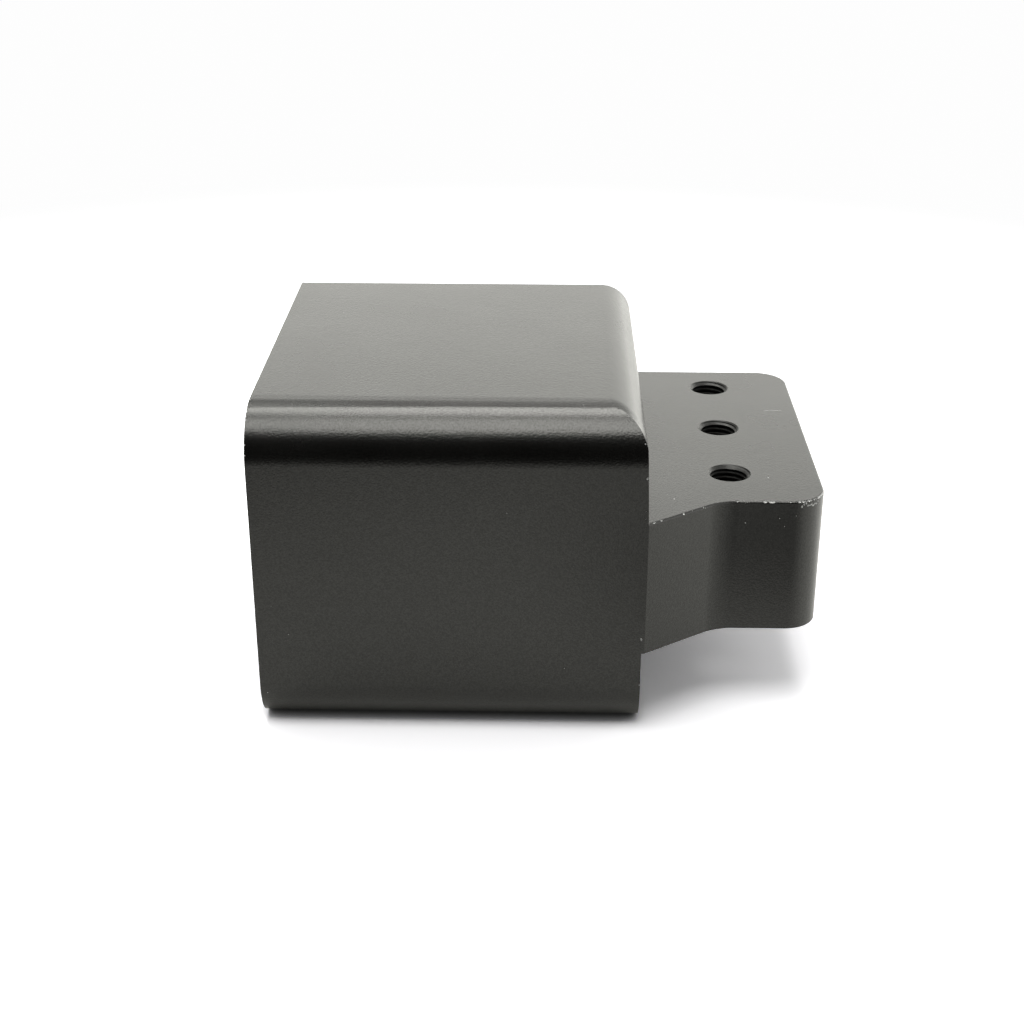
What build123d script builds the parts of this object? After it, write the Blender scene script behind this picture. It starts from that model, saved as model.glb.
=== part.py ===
from build123d import *
from math import radians, tan
import os

# A machined mounting block with a side lug that carries a row of tapped holes.
# Sizes are in millimetres. X runs across the front, Y to the back, and Z is up.
# The origin is the centre of the block's base, which it stands on.

# Block
block_width = 90.0
block_depth = 100.0
block_height = 80.0
front_edge_radius = 12.0  # front edges of the top and base
right_edge_radius = 8.0  # right edge of the top, which meets the front one in a mitre

# Lug, which stands out from the right side and ends flush with the block's back
lug_overhang = 43.0
lug_thickness = 33.5
lug_underside = 21.5  # height above the base
lug_set_back = 13.0  # from the block's front to the lug's flat front
lug_step = 0.7  # the lug's front corner stands this far clear of the block's side
lug_slope = 36.0  # degrees between the slanted front and the flat one
lug_inner_radius = 12.0  # where the slanted front runs into the flat one
lug_end_radius = 8.0  # both upright corners of the free end

# Tapped holes, in a row from front to back
hole_count = 3
hole_pitch = 29.0
hole_from_side = 21.5  # from the block's side to the row
hole_from_back = 12.5  # from the back to the last hole
tap_drill_radius = 4.4  # for an M10 fine thread of 1.25 pitch
countersink_depth = 0.8  # at both ends of each hole, at 45 degrees

# Places that follow from the sizes
block_side = block_width / 2
block_front = -block_depth / 2
block_back = block_depth / 2
lug_top = lug_underside + lug_thickness
lug_end = block_side + lug_overhang
lug_front = block_front + lug_set_back
lug_corner = block_side + lug_step
slope_end = lug_corner + lug_set_back / tan(radians(lug_slope))
row_x = block_side + hole_from_side
row_middle = block_back - hole_from_back - hole_pitch * (hole_count - 1) / 2

with BuildPart() as mounting_block:
    # The block is what the side view and the front view, each drawn out, have in common
    with BuildSketch(Plane.YZ) as side_view:
        with Locations((0, block_height / 2)):
            Rectangle(block_depth, block_height)
        front_corners = side_view.vertices().group_by(Axis.X)[0]
        fillet(front_corners, radius=front_edge_radius)
    extrude(amount=block_width / 2, both=True)
    with BuildSketch(Plane.XZ) as front_view:
        with Locations((0, block_height / 2)):
            Rectangle(block_width, block_height)
        right_corners = front_view.vertices().group_by(Axis.X)[-1]
        fillet(right_corners.sort_by(Axis.Y)[-1], radius=right_edge_radius)
    extrude(amount=block_depth / 2, both=True, mode=Mode.INTERSECT)

    # The lug, drawn from above and rooted at the block's middle
    with BuildSketch(Plane.XY.offset(lug_underside)) as lug_outline:
        with BuildLine():
            Polyline(
                (0, block_front),
                (lug_corner, block_front),
                (slope_end, lug_front),
                (lug_end, lug_front),
                (lug_end, block_back),
                (0, block_back),
                close=True,
            )
        make_face()
        inner_corner = lug_outline.vertices().sort_by_distance((slope_end, lug_front))[0]
        fillet(inner_corner, radius=lug_inner_radius)
        end_corners = lug_outline.vertices().group_by(Axis.X)[-1]
        fillet(end_corners, radius=lug_end_radius)
    extrude(amount=lug_thickness)

    # The holes, countersunk at both ends
    with Locations((row_x, row_middle, lug_top)):
        with GridLocations(hole_pitch, hole_pitch, 1, hole_count):
            Hole(radius=tap_drill_radius, depth=lug_thickness)
    hole_rims = mounting_block.edges().filter_by(lambda edge: edge.is_closed)
    chamfer(hole_rims, length=countersink_depth)

mounting_block.part.label = "mounting_block"

os.makedirs("parts", exist_ok=True)
export_step(mounting_block.part, "parts/mounting_block.step")
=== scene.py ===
import math
import random

import bmesh
import bpy
from mathutils import Matrix, Vector


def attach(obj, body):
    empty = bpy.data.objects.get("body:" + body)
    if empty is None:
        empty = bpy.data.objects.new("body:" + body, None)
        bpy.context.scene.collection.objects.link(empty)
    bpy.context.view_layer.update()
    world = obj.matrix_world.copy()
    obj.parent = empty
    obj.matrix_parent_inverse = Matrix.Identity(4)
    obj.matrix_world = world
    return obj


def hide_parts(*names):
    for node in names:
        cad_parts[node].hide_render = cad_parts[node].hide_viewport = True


# Mounting block with a side lug, in bead-blasted, black anodised aluminium
# Everything is in metres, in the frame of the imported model: X to the right, Y to the back, Z up

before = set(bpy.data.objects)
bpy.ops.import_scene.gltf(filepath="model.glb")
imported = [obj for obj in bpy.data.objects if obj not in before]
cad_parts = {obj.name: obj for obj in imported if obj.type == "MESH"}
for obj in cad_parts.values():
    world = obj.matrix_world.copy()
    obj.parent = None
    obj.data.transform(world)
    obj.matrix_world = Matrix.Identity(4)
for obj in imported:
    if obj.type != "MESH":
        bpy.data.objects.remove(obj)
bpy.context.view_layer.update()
mm = 0.001


def deselectAll():
    for item in list(bpy.context.selected_objects):
        item.select_set(False)


def makeActive(item):
    deselectAll()
    item.select_set(True)
    bpy.context.view_layer.objects.active = item


def startEdit(item):
    makeActive(item)
    bpy.ops.object.mode_set(mode="EDIT")


def leaveEdit():
    bpy.ops.object.mode_set(mode="OBJECT")


def selectByPlace(item, kind, test):
    # goes into edit mode with only those vertices, edges or faces selected that pass the test
    startEdit(item)
    bpy.context.tool_settings.mesh_select_mode = (kind == "verts", kind == "edges", kind == "faces")
    bpy.ops.mesh.select_all(action="DESELECT")
    shape = bmesh.from_edit_mesh(item.data)
    for part in [part for part in getattr(shape, kind) if test(part)]:
        part.select_set(True)
    shape.select_flush_mode()
    bmesh.update_edit_mesh(item.data)


def applyPlace():
    bpy.ops.object.transform_apply(location=True, rotation=True, scale=True)


def applyAll(item):
    makeActive(item)
    for modifier in list(item.modifiers):
        bpy.ops.object.modifier_apply(modifier=modifier.name)


def addBox(name, low, high):
    deselectAll()
    centre = [(a + b) / 2 for a, b in zip(low, high)]
    bpy.ops.mesh.primitive_cube_add(size=1, location=centre)
    box = bpy.context.object
    box.name = name
    box.scale = [b - a for a, b in zip(low, high)]
    applyPlace()
    return box


def near(a, b, gap=0.02 * mm):
    return abs(a - b) < gap


def runsAlong(edge, axis):
    along = (edge.verts[1].co - edge.verts[0].co).normalized()
    return abs(along[axis]) > 0.999


def roundEdges(item, test, radius, steps):
    selectByPlace(item, "edges", test)
    bpy.ops.mesh.bevel(offset=radius, segments=steps, profile=0.5, affect="EDGES", clamp_overlap=False)
    leaveEdit()


def cutAcross(axis, places):
    # cuts new edges round the whole mesh in edit mode, at each place along the axis
    for place in places:
        point, facing = [0, 0, 0], [0, 0, 0]
        point[axis], facing[axis] = place, 1
        bpy.ops.mesh.select_all(action="SELECT")
        bpy.ops.mesh.bisect(plane_co=point, plane_no=facing)


def combine(item, other, operation, keepMaterial=False):
    modifier = item.modifiers.new("combine", "BOOLEAN")
    modifier.operation = operation
    modifier.solver = "EXACT"
    modifier.object = other
    if keepMaterial:
        modifier.material_mode = "TRANSFER"
    applyAll(item)
    bpy.data.objects.remove(other)


def letDown(item, name, direction, most, amountAt):
    # lets each vertex down by amountAt(its place), which is never more than most
    group = item.vertex_groups.new(name=name)
    for vert in item.data.vertices:
        group.add([vert.index], min(1.0, amountAt(vert.co) / most), "REPLACE")
    modifier = item.modifiers.new(name, "DISPLACE")
    modifier.direction = direction
    modifier.mid_level = 0
    modifier.strength = -most
    modifier.vertex_group = name


# Materials

mixShare, mixFirst, mixSecond, mixResult = 0, 6, 7, 2   # sockets of a Mix node that mixes colours


def toLinear(hexColour):
    values = [int(hexColour[i:i + 2], 16) / 255 for i in (1, 3, 5)]
    return [v / 12.92 if v <= 0.04045 else ((v + 0.055) / 1.055) ** 2.4 for v in values] + [1.0]


def addNode(tree, kind, settings=None, links=None):
    # settings fill attributes and sockets, links join a socket to (node, output)
    node = tree.nodes.new(kind)
    for key, value in (settings or {}).items():
        if isinstance(key, str) and hasattr(node, key):
            setattr(node, key, value)
        else:
            node.inputs[key].default_value = value
    for key, (source, output) in (links or {}).items():
        tree.links.new(source.outputs[output], node.inputs[key])
    return node


def newMaterial(name):
    material = bpy.data.materials.new(name)
    material.use_nodes = True
    material.node_tree.nodes.clear()
    return material, material.node_tree


anodiseSettings = {
    "colour": "#020202",          # black dye sealed into the oxide, very little light comes back out of it
    "thinColour": "#060605",      # where the dye is a shade weaker
    "roughness": 0.265,
    "roughnessSpread": 0.015,
    "ior": 1.70,                  # sealed aluminium oxide
    "peenSize": 0.38 * mm,        # dimples left by the beads, drawn about twice their real 0.2 mm to show
    "peenHeight": 0.028 * mm,
    "grainSize": 0.38 * mm,       # the oxide is a shade duller in fine grains
    "grainShare": 0.20,
    "mottleSize": 2.4 * mm,       # soft waviness under the dimples
    "mottleHeight": 0.004 * mm,
    "cloudSize": 22 * mm,         # slow change of the roughness
    "speckColour": "#8F9090",     # dust and pinholes that show light
    "speckSpacing": 3.4 * mm,
    "speckFrom": 0.72,            # share of the places that have no speck
    "speckReach": 0.035,          # the largest speck's radius, in spacings
}

# the cut threads and countersinks hold a thinner, rougher dye
threadFinish = dict(anodiseSettings, roughness=0.44, ior=1.60, colour="#0F0F0E", thinColour="#161615")


def makeBlackAnodised(name, settings):
    # Bead-blasted, black anodised aluminium: a dark satin skin whose fine dimples break up each reflection
    s = settings
    material, tree = newMaterial(name)
    place = addNode(tree, "ShaderNodeTexCoord")
    at = {"Vector": (place, "Object")}
    peen = addNode(tree, "ShaderNodeTexNoise", {"Scale": 1 / s["peenSize"], "Detail": 0.0}, at)
    grain = addNode(tree, "ShaderNodeTexNoise", {"Scale": 1 / s["grainSize"], "Detail": 0.0}, at)
    mottle = addNode(tree, "ShaderNodeTexNoise",
                     {"Scale": 1 / s["mottleSize"], "Detail": 2.0, "Roughness": 0.5}, at)
    cloud = addNode(tree, "ShaderNodeTexNoise",
                    {"Scale": 1 / s["cloudSize"], "Detail": 3.0, "Roughness": 0.55}, at)
    duller = addNode(tree, "ShaderNodeMapRange",
                     {"From Min": 0.25, "From Max": 0.75, "To Min": 0.0, "To Max": s["grainShare"]},
                     {"Value": (grain, "Fac")})
    roughLow = s["roughness"] - s["roughnessSpread"]
    roughHigh = s["roughness"] + s["roughnessSpread"]
    rough = addNode(tree, "ShaderNodeMapRange",
                    {"From Min": 0.3, "From Max": 0.7, "To Min": roughLow, "To Max": roughHigh},
                    {"Value": (cloud, "Fac")})
    dyes = {"data_type": "RGBA", mixFirst: toLinear(s["colour"]), mixSecond: toLinear(s["thinColour"])}
    colour = addNode(tree, "ShaderNodeMix", dyes, {mixShare: (mottle, "Fac")})
    cells = addNode(tree, "ShaderNodeTexVoronoi", {"Scale": 1 / s["speckSpacing"], "Randomness": 1.0}, at)
    speckSize = addNode(tree, "ShaderNodeSeparateColor", {}, {"Color": (cells, "Color")})
    reach = addNode(tree, "ShaderNodeMapRange",
                    {"From Min": s["speckFrom"], "From Max": 1.0, "To Min": 0.0, "To Max": s["speckReach"]},
                    {"Value": (speckSize, "Red")})
    speck = addNode(tree, "ShaderNodeMath", {"operation": "LESS_THAN"},
                    {0: (cells, "Distance"), 1: (reach, "Result")})
    finish = addNode(tree, "ShaderNodeMix", {"data_type": "RGBA", mixSecond: toLinear(s["speckColour"])},
                     {mixShare: (speck, "Value"), mixFirst: (colour, mixResult)})
    mottleBump = addNode(tree, "ShaderNodeBump", {"Strength": 1.0, "Distance": s["mottleHeight"]},
                         {"Height": (mottle, "Fac")})
    peenBump = addNode(tree, "ShaderNodeBump", {"Strength": 1.0, "Distance": s["peenHeight"]},
                       {"Height": (peen, "Fac"), "Normal": (mottleBump, "Normal")})
    skin = addNode(tree, "ShaderNodeBsdfPrincipled", {"IOR": s["ior"]},
                   {"Base Color": (finish, mixResult), "Metallic": (duller, "Result"),
                    "Roughness": (rough, "Result"), "Normal": (peenBump, "Normal")})
    addNode(tree, "ShaderNodeOutputMaterial", {}, {"Surface": (skin, "BSDF")})
    return material


edgeSettings = {
    "colour": "#040404",
    "bareColour": "#B4B4B2",
    "bareMetallic": 0.35,
    "roughness": 0.26,
    "ior": 1.72,
    "nickSpacing": 2.2 * mm,
    "nickShare": 0.77,            # noise above this shows bare metal
    "nickFade": 0.04,
    "wearHeight": 0.03 * mm,
    "feedMark": 0.45 * mm,        # spacing of the cutter's marks, which break the worn places into dots
    "feedShare": 0.16,
}


def makeRubbedEdge(settings):
    # The narrow break along the lug's rim, where handling has rubbed the dye and shows metal in a few dots
    s = settings
    material, tree = newMaterial("blackAnodisedRubbedEdge")
    place = addNode(tree, "ShaderNodeTexCoord")
    at = {"Vector": (place, "Object")}
    wear = addNode(tree, "ShaderNodeTexNoise",
                   {"Scale": 1 / s["nickSpacing"], "Detail": 4.0, "Roughness": 0.65}, at)
    waveScale = math.pi / 10 / s["feedMark"]   # a Wave node at scale 1 has a band every pi / 10
    feed = addNode(tree, "ShaderNodeTexWave", {"Scale": waveScale, "Distortion": 0.0}, at)
    dotted = addNode(tree, "ShaderNodeMath", {"operation": "MULTIPLY_ADD", 1: s["feedShare"]},
                     {0: (feed, "Fac"), 2: (wear, "Fac")})
    bareTo = s["nickShare"] + s["nickFade"]
    bare = addNode(tree, "ShaderNodeMapRange",
                   {"From Min": s["nickShare"], "From Max": bareTo, "To Min": 0.0, "To Max": 1.0},
                   {"Value": (dotted, "Value")})
    shades = {"data_type": "RGBA", mixFirst: toLinear(s["colour"]), mixSecond: toLinear(s["bareColour"])}
    colour = addNode(tree, "ShaderNodeMix", shades, {mixShare: (bare, "Result")})
    bump = addNode(tree, "ShaderNodeBump", {"Strength": 1.0, "Distance": s["wearHeight"]},
                   {"Height": (wear, "Fac")})
    metal = addNode(tree, "ShaderNodeMath", {"operation": "MULTIPLY", 1: s["bareMetallic"]},
                    {0: (bare, "Result")})
    skin = addNode(tree, "ShaderNodeBsdfPrincipled", {"Roughness": s["roughness"], "IOR": s["ior"]},
                   {"Base Color": (colour, mixResult), "Metallic": (metal, "Value"),
                    "Normal": (bump, "Normal")})
    addNode(tree, "ShaderNodeOutputMaterial", {}, {"Surface": (skin, "BSDF")})
    return material


bareSettings = {
    "colour": "#F0F0F0",
    "dullColour": "#C4C6C8",
    "metallic": 0.35,             # torn so finely that most of it scatters light as a powder does
    "roughness": 0.42,
    "tearSize": 0.25 * mm,
    "tearHeight": 0.05 * mm,
}


def makeBareAluminium(settings):
    # Bare aluminium in a chip or scratch: bright and torn, with a cool cast beside the black
    s = settings
    material, tree = newMaterial("bareAluminiumChip")
    place = addNode(tree, "ShaderNodeTexCoord")
    tear = addNode(tree, "ShaderNodeTexNoise", {"Scale": 1 / s["tearSize"], "Detail": 3.0},
                   {"Vector": (place, "Object")})
    shades = {"data_type": "RGBA", mixFirst: toLinear(s["dullColour"]), mixSecond: toLinear(s["colour"])}
    colour = addNode(tree, "ShaderNodeMix", shades, {mixShare: (tear, "Fac")})
    bump = addNode(tree, "ShaderNodeBump", {"Strength": 1.0, "Distance": s["tearHeight"]},
                   {"Height": (tear, "Fac")})
    skin = addNode(tree, "ShaderNodeBsdfPrincipled", {"Metallic": s["metallic"], "Roughness": s["roughness"]},
                   {"Base Color": (colour, mixResult), "Normal": (bump, "Normal")})
    addNode(tree, "ShaderNodeOutputMaterial", {}, {"Surface": (skin, "BSDF")})
    return material


blackAnodised = makeBlackAnodised("blackAnodisedBeadBlasted", anodiseSettings)
cutAnodised = makeBlackAnodised("blackAnodisedCutThread", threadFinish)
rubbedEdge = makeRubbedEdge(edgeSettings)
bareAluminium = makeBareAluminium(bareSettings)
print("materials made")

# The block: a side view with two rounded front corners and a front view with one rounded top corner, combined

blockSettings = {
    "left": -45 * mm, "right": 45 * mm,
    "front": -50 * mm, "back": 50 * mm,
    "top": 80 * mm,
    "frontRadius": 12 * mm,
    "rightRadius": 8 * mm,
    "arcSteps": 30,
    "spare": 12 * mm,             # how far each view is drawn past the other
    "rubBand": 4.4 * mm,          # hand finishing has let down this band behind the front curve
    "rubDepth": 0.32 * mm,        # at the band's front edge, by the mitre
    "rubDepthLeft": 0.68 * mm,    # the same at the left end
    "rubEvenFrom": 32.5 * mm,     # right of this the depth stays the same
    "rubEase": 0.55,              # share of the band in which the slope begins
    "rubFadeLow": 72 * mm, "rubFadeHigh": 75.5 * mm,   # the band runs out down the right side between these
    "rubStart": 5 * mm,           # rows of edges that carry the band start this far from the front
    "rubRow": 0.4 * mm, "rubRows": 31,
    "creaseBlend": 0.20 * mm,     # how soft the band's front edge is
    "creaseReach": 8 * mm,        # the soft crease stays this near to the end of the front curve
    "sideSwell": 0.6 * mm,        # the side stands this far out where it meets the lug
    "swellLow": 54.0 * mm, "swellHigh": 55.1 * mm,     # it starts at the first and is full at the second
    # edges across the width, which keep the facets short enough to shade evenly
    "sideViewCuts": [x * mm for x in (*range(-42, 42, 6), 38, 40, 42, 43.7)],
    "frontViewCuts": [x * mm for x in range(-42, 36, 6)],
}


def rubDepthAt(x, settings):
    left = max(0.0, settings["rubEvenFrom"] - x) / (settings["rubEvenFrom"] - settings["left"])
    return settings["rubDepth"] + (settings["rubDepthLeft"] - settings["rubDepth"]) * left * left


def letDownAt(place, settings):
    # how far a point of the top or right side is let down, a slope with an easy start behind the front curve
    s = settings
    depth = rubDepthAt(place.x, s)
    up = max(0.0, s["frontRadius"] - max(0.0, s["top"] - place.z) - depth)
    curve = s["frontRadius"] - math.sqrt(s["frontRadius"] ** 2 - up * up)
    across = 1 - (place.y - s["front"] - curve) / s["rubBand"]
    if across <= 0:
        return 0.0
    ease = s["rubEase"]
    amount = across * across / (2 * ease) if across < ease else across - ease / 2
    fade = (place.z - s["rubFadeLow"]) / (s["rubFadeHigh"] - s["rubFadeLow"])
    fade = min(1.0, max(0.0, fade))
    return depth * amount / (1 - ease / 2) * fade * fade * (3 - 2 * fade)


def creaseDropAt(place, settings):
    # how far the crease between the let down band and the front curve is rubbed soft
    s = settings
    ahead = place.y - s["front"] - s["frontRadius"]
    if place.x > s["right"] - s["rightRadius"] or abs(ahead) > s["creaseReach"]:
        return 0.0
    radius = s["frontRadius"]
    curve = radius - math.sqrt(radius ** 2 - ahead ** 2) if ahead < 0 else -ahead * ahead / (2 * radius)
    apart = abs(curve - letDownAt(Vector((place.x, place.y, s["top"])), s))
    share = max(0.0, 1 - apart / s["creaseBlend"])
    return share * share * s["creaseBlend"] / 4


def makeSideView(settings):
    s = settings
    low = (s["left"] - s["spare"], s["front"], 0)
    high = (s["right"] + s["spare"], s["back"], s["top"] + 0.01 * mm)   # a hair over the front view's top
    block = addBox("mountingBlockBody", low, high)
    atFront = lambda edge: runsAlong(edge, 0) and near(edge.verts[0].co.y, s["front"])
    roundEdges(block, atFront, s["frontRadius"], s["arcSteps"])
    startEdit(block)
    cutAcross(0, s["sideViewCuts"])
    leaveEdit()
    return block


def makeFrontView(settings):
    s = settings
    low = (s["left"], s["front"] - s["spare"], -s["spare"])
    high = (s["right"], s["back"] + s["spare"], s["top"])
    view = addBox("frontView", low, high)

    def atTopRight(edge):
        start = edge.verts[0].co
        return near(start.z, s["top"]) and near(start.x, s["right"]) and runsAlong(edge, 1)

    roundEdges(view, atTopRight, s["rightRadius"], s["arcSteps"])
    startEdit(view)
    cutAcross(1, [s["front"] + s["rubStart"] + k * s["rubRow"] for k in range(s["rubRows"])])
    cutAcross(0, s["frontViewCuts"])
    cutAcross(2, (s["swellLow"], s["swellHigh"]))
    leaveEdit()

    # the flat top is let down straight, and the rounded edge square to its surface
    roundStart = s["right"] - s["rightRadius"] + 0.01 * mm
    most = 2 * mm
    onTop = lambda place: letDownAt(place, s) if place.x < roundStart else 0.0
    onRound = lambda place: letDownAt(place, s) if place.x > roundStart else 0.0
    letDown(view, "rubbedTop", "Z", most, onTop)
    letDown(view, "rubbedRound", "NORMAL", most, onRound)
    applyAll(view)
    selectByPlace(view, "verts", lambda vert: near(vert.co.x, s["right"]) and near(vert.co.z, s["swellHigh"]))
    bpy.ops.transform.translate(value=(s["sideSwell"], 0, 0))
    leaveEdit()
    return view


def makeBlock(settings):
    s = settings
    block = makeSideView(s)
    combine(block, makeFrontView(s), "INTERSECT")
    creaseFrom = s["top"] - 3 * mm
    letDown(block, "softCrease", "Z", s["creaseBlend"],
            lambda place: creaseDropAt(place, s) if place.z > creaseFrom else 0.0)
    applyAll(block)
    return block


block = makeBlock(blockSettings)
print("block made, faces:", len(block.data.polygons))

# The lug, drawn in plan: a slanted front, a flat front and a rounded end

lugSettings = {
    "rootLeft": 30 * mm, "rootRight": 45.7 * mm,   # its front corner stands 0.7 mm clear of the block's side
    "slopeEnd": 63.593 * mm,
    "end": 88 * mm,
    "flatFront": -37 * mm,
    "low": 21.5 * mm, "high": 55 * mm,
    "slope": math.radians(36),
    "innerRadius": 12 * mm, "innerSteps": 16,
    "endRadius": 8 * mm, "endSteps": 28,
}


def makeLug(settings, blockSize):
    s = settings
    lug = addBox("lug", (s["rootLeft"], s["flatFront"], s["low"]), (s["end"], blockSize["back"], s["high"]))
    startEdit(lug)
    cutAcross(0, (s["rootRight"], s["slopeEnd"]))
    leaveEdit()

    # its left part is drawn forward to the block's front, and the right corner pushed back for the slant
    stepOut = blockSize["front"] - s["flatFront"]
    onLeft = lambda face: face.normal.y < -0.9 and face.calc_center_median().x < s["slopeEnd"]
    selectByPlace(lug, "faces", onLeft)
    bpy.ops.mesh.extrude_region_move(TRANSFORM_OT_translate={"value": (0, stepOut, 0)})
    leaveEdit()
    atCorner = lambda vert: near(vert.co.x, s["slopeEnd"]) and near(vert.co.y, blockSize["front"])
    selectByPlace(lug, "verts", atCorner)
    bpy.ops.transform.translate(value=(0, -stepOut, 0))
    bpy.ops.mesh.select_all(action="SELECT")
    bpy.ops.mesh.remove_doubles(threshold=0.01 * mm)
    bpy.ops.mesh.normals_make_consistent(inside=False)
    leaveEdit()

    def atInnerCorner(edge):
        start = edge.verts[0].co
        return runsAlong(edge, 2) and near(start.x, s["slopeEnd"]) and near(start.y, s["flatFront"])

    roundEdges(lug, atInnerCorner, s["innerRadius"] * math.tan(s["slope"] / 2), s["innerSteps"])
    atEnd = lambda edge: runsAlong(edge, 2) and near(edge.verts[0].co.x, s["end"])
    roundEdges(lug, atEnd, s["endRadius"], s["endSteps"])
    return lug


combine(block, makeLug(lugSettings, blockSettings), "UNION")
print("lug joined on, faces:", len(block.data.polygons))

# Three holes drilled to the thread's full width and countersunk at both ends

holeSettings = {
    "x": 66.5 * mm,
    "rows": (-20.5 * mm, 8.5 * mm, 37.5 * mm),
    "rimRadius": 5.2 * mm,
    "wallRadius": 5.0 * mm,       # M10 across the thread's roots
    "steps": 72,
    "spare": 0.6 * mm,            # how far the drill's cones run past the lug
}


def growEnd(item, axis, height, rise, scale):
    # draws the cap of a round bar out to another radius
    atCap = lambda face: abs(face.normal.z) > 0.99 and near(face.calc_center_median().z, height)
    selectByPlace(item, "faces", atCap)
    bpy.ops.mesh.extrude_region_move(TRANSFORM_OT_translate={"value": (0, 0, rise)})
    bpy.ops.transform.resize(value=(scale, scale, 1), center_override=(*axis, height + rise))
    leaveEdit()


def makeDrill(row, settings, lugSize):
    s = settings
    depth = s["rimRadius"] - s["wallRadius"]
    low, high = lugSize["low"] + depth, lugSize["high"] - depth
    deselectAll()
    bpy.ops.mesh.primitive_cylinder_add(vertices=s["steps"], radius=s["wallRadius"], depth=high - low,
                                        location=(s["x"], row, (low + high) / 2))
    drill = bpy.context.object
    applyPlace()
    scale = (s["rimRadius"] + s["spare"]) / s["wallRadius"]
    growEnd(drill, (s["x"], row), high, depth + s["spare"], scale)
    growEnd(drill, (s["x"], row), low, -depth - s["spare"], scale)
    return drill


for row in holeSettings["rows"]:
    combine(block, makeDrill(row, holeSettings, lugSettings), "DIFFERENCE")
print("holes drilled, faces:", len(block.data.polygons))

# The threads: one ridge wound up the front hole, then copied to the other two and turned

threadSettings = {
    "pitch": 1.25 * mm,
    "crestRadius": 4.32 * mm,
    "crestShare": 0.25, "rootShare": 0.875,   # the ridge's width at its crest and root, in pitches
    "sunk": 0.06 * mm,            # how far the ridge's root goes into the wall
    "firstCrest": 0.97 * mm,      # depth of the ridge on the right of the front hole
    "turns": (84, 78),            # degrees that the middle and back threads are turned
    "windSteps": 48,              # facets to a turn
    "coneSteps": 67,              # odd against the thread's steps, so that no two edges fall together
    "coneSpare": 6 * mm,
}


def makeRidge(settings, wallRadius):
    # the ridge's outline, an open ring of four edges beside the hole's axis
    s = settings
    radial = wallRadius - s["crestRadius"] + s["sunk"]
    rootWidth, crestWidth = s["pitch"] * s["rootShare"], s["pitch"] * s["crestShare"]
    middle = s["crestRadius"] + radial / 2
    deselectAll()
    bpy.ops.mesh.primitive_plane_add(size=1, rotation=(math.pi / 2, 0, 0), location=(middle, 0, 0))
    thread = bpy.context.object
    thread.name = "threadFront"
    thread.scale = (radial, rootWidth, 1)
    applyPlace()
    selectByPlace(thread, "verts", lambda vert: vert.co.x < middle)
    bpy.ops.transform.resize(value=(1, 1, crestWidth / rootWidth), center_override=(0, 0, 0))
    bpy.ops.mesh.select_all(action="SELECT")
    bpy.ops.mesh.delete(type="ONLY_FACE")
    leaveEdit()
    return thread


def closeEnds(thread):
    # fills the open ring at the thread's top, then the one at its foot
    startEdit(thread)
    for end in (1, -1):
        bpy.ops.mesh.select_all(action="DESELECT")
        bpy.ops.mesh.select_non_manifold()
        shape = bmesh.from_edit_mesh(thread.data)
        heights = [vert.co.z for vert in shape.verts if vert.select]
        middle = (max(heights) + min(heights)) / 2
        for vert in shape.verts:
            if vert.select and (vert.co.z - middle) * end < 0:
                vert.select_set(False)
        shape.select_flush(False)
        bmesh.update_edit_mesh(thread.data)
        bpy.ops.mesh.edge_face_add()
    bpy.ops.mesh.select_all(action="SELECT")
    bpy.ops.mesh.normals_make_consistent(inside=False)
    leaveEdit()


def makeThread(settings, hole, lugSize):
    s = settings
    axisX, row = hole["x"], hole["rows"][0]
    thread = makeRidge(s, hole["wallRadius"])
    turnCount = int((lugSize["high"] - lugSize["low"]) / s["pitch"])
    winding = thread.modifiers.new("winding", "SCREW")
    winding.axis = "Z"
    winding.angle = 2 * math.pi
    winding.screw_offset = s["pitch"]
    winding.iterations = turnCount + 4
    winding.steps = winding.render_steps = s["windSteps"]
    winding.use_merge_vertices = False
    applyAll(thread)
    closeEnds(thread)
    thread.location = (axisX, row, lugSize["high"] - s["firstCrest"] - (turnCount + 1) * s["pitch"])
    applyPlace()

    # both ends are cut by the countersinks
    reach = hole["rimRadius"] + s["coneSpare"]
    cones = ((lugSize["high"] + s["coneSpare"] - reach / 2, 0, reach),
             (lugSize["low"] - s["coneSpare"] + reach / 2, reach, 0))
    for height, lowRadius, highRadius in cones:
        deselectAll()
        bpy.ops.mesh.primitive_cone_add(vertices=s["coneSteps"], radius1=lowRadius, radius2=highRadius,
                                        depth=reach, location=(axisX, row, height))
        cone = bpy.context.object
        applyPlace()
        combine(thread, cone, "DIFFERENCE")
    return thread


def copyThread(thread, name, row, turn, hole):
    copy = thread.copy()
    copy.data = thread.data.copy()
    copy.name = name
    bpy.context.scene.collection.objects.link(copy)
    makeActive(copy)
    toAxis = Matrix.Translation((-hole["x"], -hole["rows"][0], 0))
    turned = Matrix.Rotation(math.radians(turn), 4, "Z")
    copy.matrix_world = Matrix.Translation((hole["x"], row, 0)) @ turned @ toAxis
    applyPlace()
    return copy


threads = [makeThread(threadSettings, holeSettings, lugSettings)]
for name, row, turn in zip(("threadMiddle", "threadBack"), holeSettings["rows"][1:], threadSettings["turns"]):
    threads.append(copyThread(threads[0], name, row, turn, holeSettings))
print("threads wound, faces each:", len(threads[0].data.polygons))

# The break along the rim of the lug's top, which alone has a rubbed edge in the photo

rimSettings = {
    "edgeBreak": 0.45 * mm,
    "breakSteps": 3,
    "breakFrom": math.radians(80),   # only edges at least this sharp are broken
}


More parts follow.
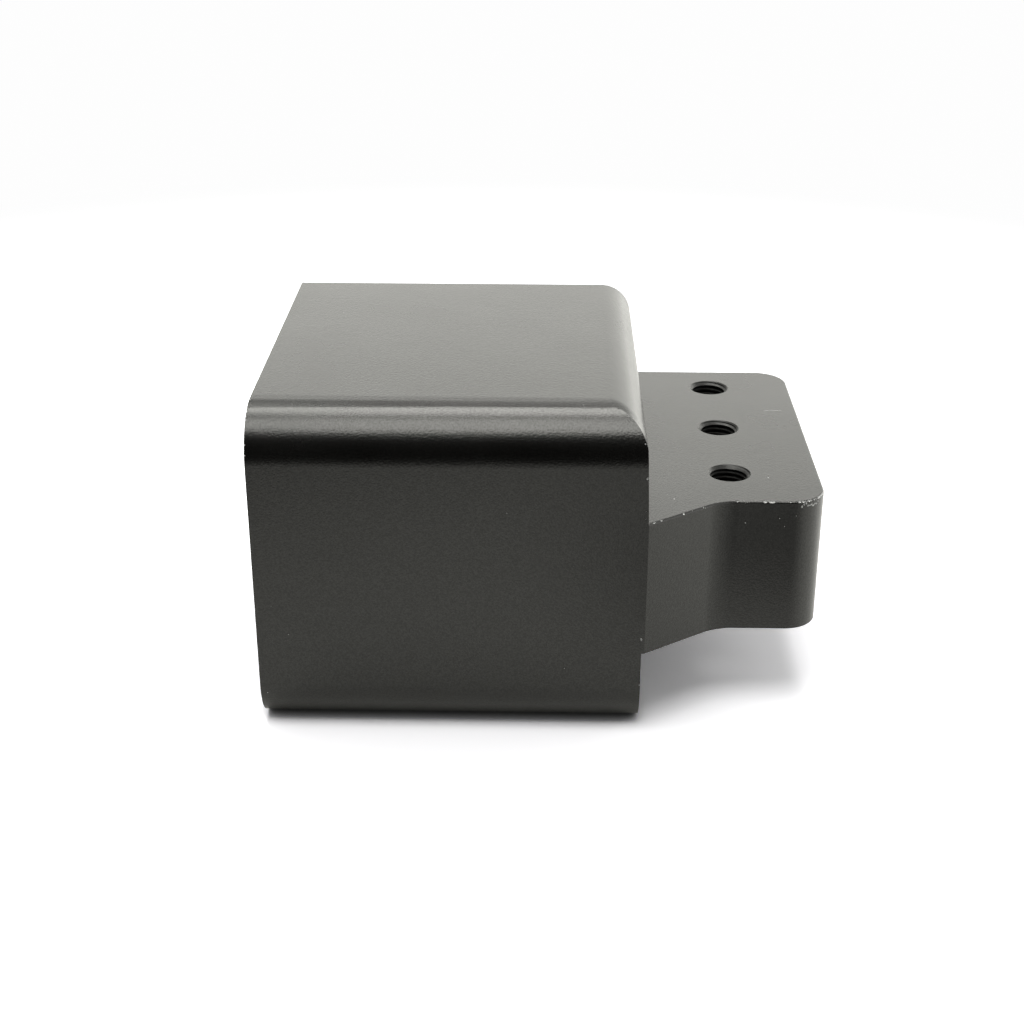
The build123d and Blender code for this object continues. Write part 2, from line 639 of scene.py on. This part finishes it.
def breakRim(item, settings, lugSize):
    s = settings

    def onRim(edge):
        left = lugSize["rootRight"] - 0.1 * mm
        atTop = all(near(vert.co.z, lugSize["high"]) and vert.co.x > left for vert in edge.verts)
        return atTop and edge.is_convex and edge.calc_face_angle(0) > s["breakFrom"]

    item.data.materials.clear()
    item.data.materials.append(blackAnodised)
    item.data.materials.append(rubbedEdge)
    for polygon in item.data.polygons:
        polygon.material_index = 0
    selectByPlace(item, "edges", onRim)
    bpy.ops.transform.edge_bevelweight(value=1)
    leaveEdit()
    edgeBreak = item.modifiers.new("edgeBreak", "BEVEL")
    edgeBreak.limit_method = "WEIGHT"
    edgeBreak.use_clamp_overlap = False
    edgeBreak.width = s["edgeBreak"]
    edgeBreak.segments = s["breakSteps"]
    edgeBreak.material = 1        # the rubbed edge
    applyAll(item)
    startEdit(item)
    bpy.ops.mesh.select_all(action="SELECT")
    bpy.ops.mesh.dissolve_degenerate(threshold=0.003 * mm)
    leaveEdit()


breakRim(block, rimSettings, lugSettings)
print("rim broken, faces:", len(block.data.polygons))

# Nicks, chips and scratches, each: centre in mm, half its length, width and depth in mm,
# and the direction of its length in degrees from X

nicks = [
    # chips along the rim of the lug's top
    ((73.3, -36.9, 54.85), (0.42, 0.26, 0.26), 0), ((74.9, -36.9, 54.85), (0.75, 0.28, 0.28), 0),
    ((53.9, -43.9, 54.85), (0.26, 0.22, 0.26), 36), ((46.9, -48.95, 54.85), (0.40, 0.15, 0.17), 36),
    ((48.6, -47.75, 54.85), (0.30, 0.13, 0.14), 36), ((58.7, -40.4, 54.85), (0.18, 0.12, 0.13), 36),
    ((66.9, -36.9, 54.85), (0.26, 0.13, 0.13), 4), ((79.2, -36.87, 54.85), (0.22, 0.13, 0.13), 0),
    # the block's front right edge
    ((44.9, -49.9, 66.2), (0.26, 0.26, 0.36), 45), ((44.3, -48.3, 73.85), (0.28, 0.28, 0.26), 0),
    ((44.9, -49.9, 25.3), (0.22, 0.22, 0.40), 45), ((44.85, -49.85, 13.0), (0.20, 0.20, 0.30), 45),
    # scratches on the block's top and the lug's top
    ((38.76, 3.73, 80.0), (2.75, 0.09, 0.07), -82), ((81.8, 20.93, 55.0), (2.6, 0.06, 0.05), 1),
    # specks on the faces
    ((52.25, -36.0, 55.0), (0.20, 0.16, 0.10), 0), ((75.55, -23.13, 55.0), (0.20, 0.16, 0.10), 0),
    ((60.65, -38.75, 41.69), (0.09, 0.09, 0.09), 0), ((76.88, -37.0, 50.68), (0.09, 0.06, 0.09), 0),
    ((80.73, -36.97, 51.36), (0.08, 0.06, 0.08), 0), ((68.99, -37.0, 49.48), (0.08, 0.06, 0.08), 0),
    ((78.18, -37.0, 48.68), (0.08, 0.06, 0.08), 0), ((-43.37, -49.76, 9.6), (0.10, 0.08, 0.10), 0),
    # a row of bright bare marks on the block's front right edge, above the lug: partly wear, partly a painted
    # highlight standing in for the edge's reflection
    ((44.85, -49.85, 56.3), (0.15, 0.15, 0.55), 45), ((44.87, -49.87, 58.1), (0.13, 0.13, 0.40), 45),
    ((44.86, -49.86, 59.9), (0.14, 0.14, 0.62), 45), ((44.88, -49.88, 62.0), (0.13, 0.13, 0.48), 45),
    ((44.86, -49.86, 63.9), (0.14, 0.14, 0.52), 45),
]

# the two rows of nicks along curves, in mm and degrees
nickSettings = {
    "seed": 7,
    "roughness": 0.25,            # share of its least half size by which a nick's points are moved
    "reach": 1.3,                 # share of its largest half size that a nick keeps clear of the others
    "cornerCentre": (80, -29),    # X and Y of the lug's rounded front corner
    "cornerCount": 34, "cornerFrom": 8, "cornerStep": 1.9,   # from the flat front round to the end
    "cornerHalves": ((0.20, 0.42), (0.20, 0.30), (0.20, 0.36)),
    "rimRadius": 7.84, "rimHeight": 54.86,
    "rimSize": 0.68, "rimWave": 0.5, "rimWaveStep": 2.1,     # the rim's nicks are larger and smaller in turn
    "underRim": range(3, 22, 2),  # those of the row that lie on the face under the rim
    "faceRadius": 8.0, "faceSunk": 0.08, "faceHeight": 54.5, "faceSpread": 1.0,
    "leftCentre": (-38, 68),      # Y and Z of the front curve
    "leftX": -44.85, "leftRadius": 11.85,
    "leftCount": 15, "leftFrom": 4, "leftStep": 5.6,
    "leftShare": 0.75,            # share of the row's places that have a nick
    "leftLength": 0.26, "leftHalves": ((0.16, 0.34), (0.18, 0.30)),
}


def nickList(settings):
    # the lug's chipped corner and the worn left end of the front curve are rows of nicks along their curves
    s = settings
    found = list(nicks)
    chance = random.Random(s["seed"])
    x, y = s["cornerCentre"]
    for k in range(s["cornerCount"]):
        angle = math.radians(s["cornerFrom"] + s["cornerStep"] * k)
        underRim = k in s["underRim"]
        reach = s["faceRadius"] - chance.uniform(0.0, s["faceSunk"]) if underRim else s["rimRadius"]
        height = s["faceHeight"] - chance.uniform(0.0, s["faceSpread"]) if underRim else s["rimHeight"]
        centre = (x + reach * math.sin(angle), y - reach * math.cos(angle), height)
        share = 1.0 if underRim else s["rimSize"] * (1 + s["rimWave"] * math.sin(s["rimWaveStep"] * k))
        halves = tuple(share * chance.uniform(*limits) for limits in s["cornerHalves"])
        found.append((centre, halves, math.degrees(angle) + chance.uniform(-20, 20)))
    y, z = s["leftCentre"]
    for k in range(s["leftCount"]):
        angle = math.radians(s["leftFrom"] + s["leftStep"] * k)
        if chance.random() < s["leftShare"]:
            ahead, up = s["leftRadius"] * math.sin(angle), s["leftRadius"] * math.cos(angle)
            centre = (s["leftX"], y - ahead, z + up)
            halves = (s["leftLength"], *(chance.uniform(*limits) for limits in s["leftHalves"]))
            found.append((centre, halves, 0))
    return found


def addCutter(centre, halves, turn, seed, settings):
    # a rough grain that bites a nick out of an edge
    deselectAll()
    bpy.ops.mesh.primitive_ico_sphere_add(subdivisions=2, radius=1, location=[v * mm for v in centre])
    cutter = bpy.context.object
    cutter.scale = [v * mm for v in halves]
    cutter.rotation_euler = (0, 0, math.radians(turn))
    applyPlace()
    startEdit(cutter)
    bpy.ops.mesh.select_all(action="SELECT")
    bpy.ops.transform.vertex_random(offset=settings["roughness"] * min(halves) * mm, seed=seed)
    leaveEdit()
    cutter.data.materials.append(bareAluminium)
    return cutter


def cutNicks(item, settings):
    # the nicks are cut in groups whose members stand clear of each other
    groups = []
    for seed, (centre, halves, turn) in enumerate(nickList(settings)):
        reach = settings["reach"] * max(halves)
        cutter = addCutter(centre, halves, turn, seed, settings)
        for group in groups:
            if all(math.dist(centre, other) > reach + otherReach for other, otherReach, _ in group):
                group.append((centre, reach, cutter))
                break
        else:
            groups.append([(centre, reach, cutter)])
    for group in groups:
        deselectAll()
        for _, _, cutter in group:
            cutter.select_set(True)
        bpy.context.view_layer.objects.active = group[0][2]
        bpy.ops.object.join()
        combine(item, group[0][2], "DIFFERENCE", keepMaterial=True)
    startEdit(item)
    bpy.ops.mesh.select_all(action="SELECT")
    bpy.ops.mesh.dissolve_degenerate(threshold=0.001 * mm)
    bpy.ops.mesh.select_all(action="SELECT")
    bpy.ops.mesh.fill_holes(sides=8)
    leaveEdit()
    print("nicks cut in groups:", len(groups))


cutNicks(block, nickSettings)

# Smooth shading, with the chips and the rim's facets kept sharp, and the last materials

shadeSettings = {"sharpAngle": math.radians(13), "threadSharpAngle": math.radians(35)}


def finishBlock(item, settings, hole):
    makeActive(item)
    bpy.ops.object.shade_smooth_by_angle(angle=settings["sharpAngle"])
    item.data.materials.append(cutAnodised)
    cutSlot = item.data.materials.find(cutAnodised.name)
    cutRadius = hole["rimRadius"] + 0.1 * mm
    for polygon in item.data.polygons:
        centre = polygon.center
        offAxis = min(math.hypot(centre.x - hole["x"], centre.y - row) for row in hole["rows"])
        if polygon.material_index == 0 and offAxis < cutRadius and abs(polygon.normal.z) < 0.9:
            polygon.material_index = cutSlot
    bareSlot = item.data.materials.find(bareAluminium.name)
    bareFaces = [polygon for polygon in item.data.polygons if polygon.material_index == bareSlot]
    bareEdges = {edge for polygon in bareFaces for edge in polygon.edge_keys}
    selectByPlace(item, "edges", lambda edge: tuple(sorted(vert.index for vert in edge.verts)) in bareEdges)
    bpy.ops.mesh.mark_sharp()
    leaveEdit()
    weighted = item.modifiers.new("weighted", "WEIGHTED_NORMAL")
    weighted.mode = "FACE_AREA"
    weighted.keep_sharp = True
    applyAll(item)


finishBlock(block, shadeSettings, holeSettings)
for thread in threads:
    makeActive(thread)
    thread.data.materials.clear()
    thread.data.materials.append(cutAnodised)
    bpy.ops.object.shade_smooth_by_angle(angle=shadeSettings["threadSharpAngle"])
print("block finished, faces:", len(block.data.polygons))

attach(block, "root")
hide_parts("mounting_block")
for thread in threads:
    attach(thread, "root")

# The stage: pale paper that shows as white, with the object's shadow on it and a painted contact shade under
# the base's curve, and in reflections painted shade that darkens the paper towards the camera, near black
# further off

lightColour = (1.0, 0.995, 0.935)

stageSettings = {
    "size": 12.0,
    "paper": "#DCDCDA",
    "cameraPaper": "#DCDCE3",     # the same paper with the camera's white balance
    "paintedShadePaper": "#7C7C7B",       # painted shade: the paper as it falls away from the light towards the camera
    "shownPaper": 1.86,           # exposure of the paper for the camera alone, which clips to white
    "white": 0.985,
    "nearRadius": 0.16, "farRadius": 0.50,         # the camera's paper turns to plain white between these
    "contactShadeReach": 2.6 * mm, "contactShadePower": 0.9,       # painted contact shade: the camera's paper is darkened under the base's curve
    "reflectedWhite": 1.6,        # the lit background behind, as glossy surfaces see it
    "backStart": 0.03, "backFull": 0.14,           # where the lit background begins
    "paintedShadeStart": -0.03,           # where the painted shade begins, which gives way to the painted near black further off
    # painted shade: further towards the camera the reflected paper turns near black
    "paintedDarkStart": -0.20, "paintedDarkFull": -0.40,
    "shadeRampTurn": math.radians(-34),
    "paintedDarkLevel": 0.01,
    # painted shade: a darker patch on the paper near the camera's right, seen only in reflections
    "paintedShadeSpot": (0.102, -0.140, 0), "paintedShadeRadius": 0.10, "paintedShadeColour": "#606060",
}


def makeFloor(settings):
    s = settings
    deselectAll()
    bpy.ops.mesh.primitive_plane_add(size=s["size"], location=(0, 0, 0))
    floor = bpy.context.object
    floor.name = "floor"
    material, tree = newMaterial("whitePaper")
    eased = {"interpolation_type": "SMOOTHSTEP"}
    place = addNode(tree, "ShaderNodeTexCoord")
    ray = addNode(tree, "ShaderNodeLightPath")
    turned = addNode(tree, "ShaderNodeMapping", {"Rotation": (0, 0, -s["shadeRampTurn"])},
                     {"Vector": (place, "Object")})
    split = addNode(tree, "ShaderNodeSeparateXYZ", {}, {"Vector": (turned, "Vector")})
    backward = {"Value": (split, "Y")}
    onPaintedDark = addNode(tree, "ShaderNodeMapRange",
                      {"From Min": s["paintedDarkStart"], "From Max": s["paintedDarkFull"], **eased}, backward)
    paintedShadeShare = addNode(tree, "ShaderNodeMapRange",
                   {"From Min": s["paintedShadeStart"], "From Max": s["paintedDarkFull"]}, backward)
    onBack = addNode(tree, "ShaderNodeMapRange",
                     {"From Min": s["backStart"], "From Max": s["backFull"], **eased}, backward)

    # what the camera sees: bright paper near the object and plain white further off
    away = addNode(tree, "ShaderNodeVectorMath", {"operation": "LENGTH"}, {0: (place, "Object")})
    far = addNode(tree, "ShaderNodeMapRange",
                  {"From Min": s["nearRadius"], "From Max": s["farRadius"], **eased},
                  {"Value": (away, "Value")})
    # painted contact shade: ambient occlusion darkens the camera's paper in the narrow gap under the base's
    # curve
    openSky = addNode(tree, "ShaderNodeAmbientOcclusion", {"Distance": s["contactShadeReach"]})
    paintedContactShade = addNode(tree, "ShaderNodeMath", {"operation": "POWER", 1: s["contactShadePower"]},
                       {0: (openSky, "AO")})
    shown = [v * s["shownPaper"] for v in toLinear(s["cameraPaper"])[:3]] + [1]
    shownColour = addNode(tree, "ShaderNodeMix",
                          {"data_type": "RGBA", mixFirst: (0, 0, 0, 1), mixSecond: shown},
                          {mixShare: (paintedContactShade, "Value")})
    shownPaper = addNode(tree, "ShaderNodeBsdfDiffuse", {}, {"Color": (shownColour, mixResult)})
    white = addNode(tree, "ShaderNodeEmission", {"Color": (1, 1, 1, 1), "Strength": s["white"]})
    forCamera = addNode(tree, "ShaderNodeMixShader", {},
                        {0: (far, "Result"), 1: (shownPaper, "BSDF"), 2: (white, "Emission")})

    # what the object reflects: paper with painted shade that darkens it towards the camera and turns it near
    # black further off, a painted dark patch near the camera's right, and a lit background behind
    papers = {"data_type": "RGBA", mixFirst: toLinear(s["paper"]), mixSecond: toLinear(s["paintedShadePaper"])}
    paperColour = addNode(tree, "ShaderNodeMix", papers, {mixShare: (paintedShadeShare, "Result")})
    # painted shade: a darker patch on the reflected paper near the camera's right
    fromPaintedShade = addNode(tree, "ShaderNodeVectorMath", {"operation": "DISTANCE", 1: s["paintedShadeSpot"]},
                       {0: (place, "Object")})
    onPaintedShade = addNode(tree, "ShaderNodeMapRange",
                     {"From Min": s["paintedShadeRadius"], "From Max": 0.0, **eased}, {"Value": (fromPaintedShade, "Value")})
    withPaintedShade = addNode(tree, "ShaderNodeMix", {"data_type": "RGBA", mixSecond: toLinear(s["paintedShadeColour"])},
                      {mixShare: (onPaintedShade, "Result"), mixFirst: (paperColour, mixResult)})
    paper = addNode(tree, "ShaderNodeBsdfDiffuse", {}, {"Color": (withPaintedShade, mixResult)})
    paintedDarkFloor = addNode(tree, "ShaderNodeBsdfDiffuse", {"Color": (s["paintedDarkLevel"],) * 3 + (1,)})
    litBack = addNode(tree, "ShaderNodeEmission",
                      {"Color": lightColour + (1,), "Strength": s["reflectedWhite"]})
    seesBack = addNode(tree, "ShaderNodeMath", {"operation": "MULTIPLY"},
                       {0: (onBack, "Result"), 1: (ray, "Is Glossy Ray")})
    behind = addNode(tree, "ShaderNodeMixShader", {},
                     {0: (seesBack, "Value"), 1: (paper, "BSDF"), 2: (litBack, "Emission")})
    forOthers = addNode(tree, "ShaderNodeMixShader", {},
                        {0: (onPaintedDark, "Result"), 1: (behind, "Shader"), 2: (paintedDarkFloor, "BSDF")})

    both = addNode(tree, "ShaderNodeMixShader", {},
                   {0: (ray, "Is Camera Ray"), 1: (forOthers, "Shader"), 2: (forCamera, "Shader")})
    addNode(tree, "ShaderNodeOutputMaterial", {}, {"Surface": (both, "Shader")})
    floor.data.materials.append(material)


makeFloor(stageSettings)

# Lights: panels given by centre, size across and up, the point they face, how bright they look
# and a turn in degrees

panels = {
    "overheadBackPanel": ((-0.065, 0.42, 1.0), (0.62, 0.58), (-0.065, 0.4201, 0), 5.6, 22),
    "overheadFrontPanel": ((-0.055, -0.335, 1.0), (0.66, 0.60), (-0.055, -0.3349, 0), 4.75, 22),
    "backPanel": ((0.06, 1.00, 0.34), (1.02, 0.64), (0.06, 0, 0.34), 1.29, 0),
    "backRightPanel": ((0.85, 0.72, 0.31), (0.8, 0.56), (0, 0, 0.10), 2.8, 0),
}

worldSettings = {
    "front": 0.0, "back": 0.6,              # how strong the light is from the front and from behind
    "frontEnd": -0.1, "backStart": 0.4,     # Y of the directions between which it changes
    "sides": 0.9,                           # how strong it is from both sides
    "sidesStart": 0.30, "sidesFull": 0.62,  # X of the directions between which it changes
}


def makePanel(name, centre, size, facing, radiance, turn):
    data = bpy.data.lights.new(name, "AREA")
    data.shape = "RECTANGLE"
    data.size, data.size_y = size
    data.energy = radiance * math.pi * size[0] * size[1]
    data.color = lightColour
    panel = bpy.data.objects.new(name, data)
    towards = Vector(facing) - Vector(centre)
    facingTurn = towards.to_track_quat("-Z", "Y").to_matrix().to_4x4()
    panel.rotation_euler = (Matrix.Rotation(math.radians(turn), 4, "Z") @ facingTurn).to_euler()
    panel.location = centre
    bpy.context.scene.collection.objects.link(panel)


def makeWorld(settings):
    # the pale sides of a light tent, dark in front where the camera stands
    s = settings
    world = bpy.data.worlds.new("studio")
    bpy.context.scene.world = world
    world.use_nodes = True
    tree = world.node_tree
    tree.nodes.clear()
    eased = {"interpolation_type": "SMOOTHSTEP"}
    place = addNode(tree, "ShaderNodeTexCoord")
    split = addNode(tree, "ShaderNodeSeparateXYZ", {}, {"Vector": (place, "Generated")})
    aside = addNode(tree, "ShaderNodeMath", {"operation": "ABSOLUTE"}, {0: (split, "X")})
    middle = addNode(tree, "ShaderNodeMapRange",
                     {"From Min": s["frontEnd"], "From Max": s["backStart"],
                      "To Min": s["front"], "To Max": s["back"], **eased},
                     {"Value": (split, "Y")})
    strength = addNode(tree, "ShaderNodeMapRange",
                       {"From Min": s["sidesStart"], "From Max": s["sidesFull"],
                        "To Max": s["sides"], **eased},
                       {"Value": (aside, "Value"), "To Min": (middle, "Result")})
    ray = addNode(tree, "ShaderNodeLightPath")
    tent = addNode(tree, "ShaderNodeBackground", {"Color": lightColour + (1,)},
                   {"Strength": (strength, "Result")})
    shown = addNode(tree, "ShaderNodeBackground", {"Color": (1, 1, 1, 1), "Strength": 1.0})
    both = addNode(tree, "ShaderNodeMixShader", {},
                   {0: (ray, "Is Camera Ray"), 1: (tent, "Background"), 2: (shown, "Background")})
    addNode(tree, "ShaderNodeOutputWorld", {}, {"Surface": (both, "Shader")})


for panelName, panel in panels.items():
    makePanel(panelName, *panel)
makeWorld(worldSettings)

# Camera

cameraSettings = {
    "place": (21.75 * mm, -390.20 * mm, 216.13 * mm),
    "turn": 1.1813, "downTilt": 24.9624, "roll": 0.0824,   # degrees
    "lens": 58.643, "sensor": 36,
    "clipStart": 0.01,
}


def makeCamera(settings):
    data = bpy.data.cameras.new("camera")
    data.sensor_width = settings["sensor"]
    data.lens = settings["lens"]
    data.clip_start = settings["clipStart"]
    camera = bpy.data.objects.new("camera", data)
    turn, tilt, roll = (math.radians(settings[key]) for key in ("turn", "downTilt", "roll"))
    camera.matrix_world = (Matrix.Translation(settings["place"]) @ Matrix.Rotation(turn, 4, "Z")
                           @ Matrix.Rotation(math.pi / 2 - tilt, 4, "X") @ Matrix.Rotation(roll, 4, "Z"))
    bpy.context.scene.collection.objects.link(camera)
    bpy.context.scene.camera = camera


makeCamera(cameraSettings)
bpy.context.scene.view_settings.view_transform = "Standard"
print("stage, lights and camera set")
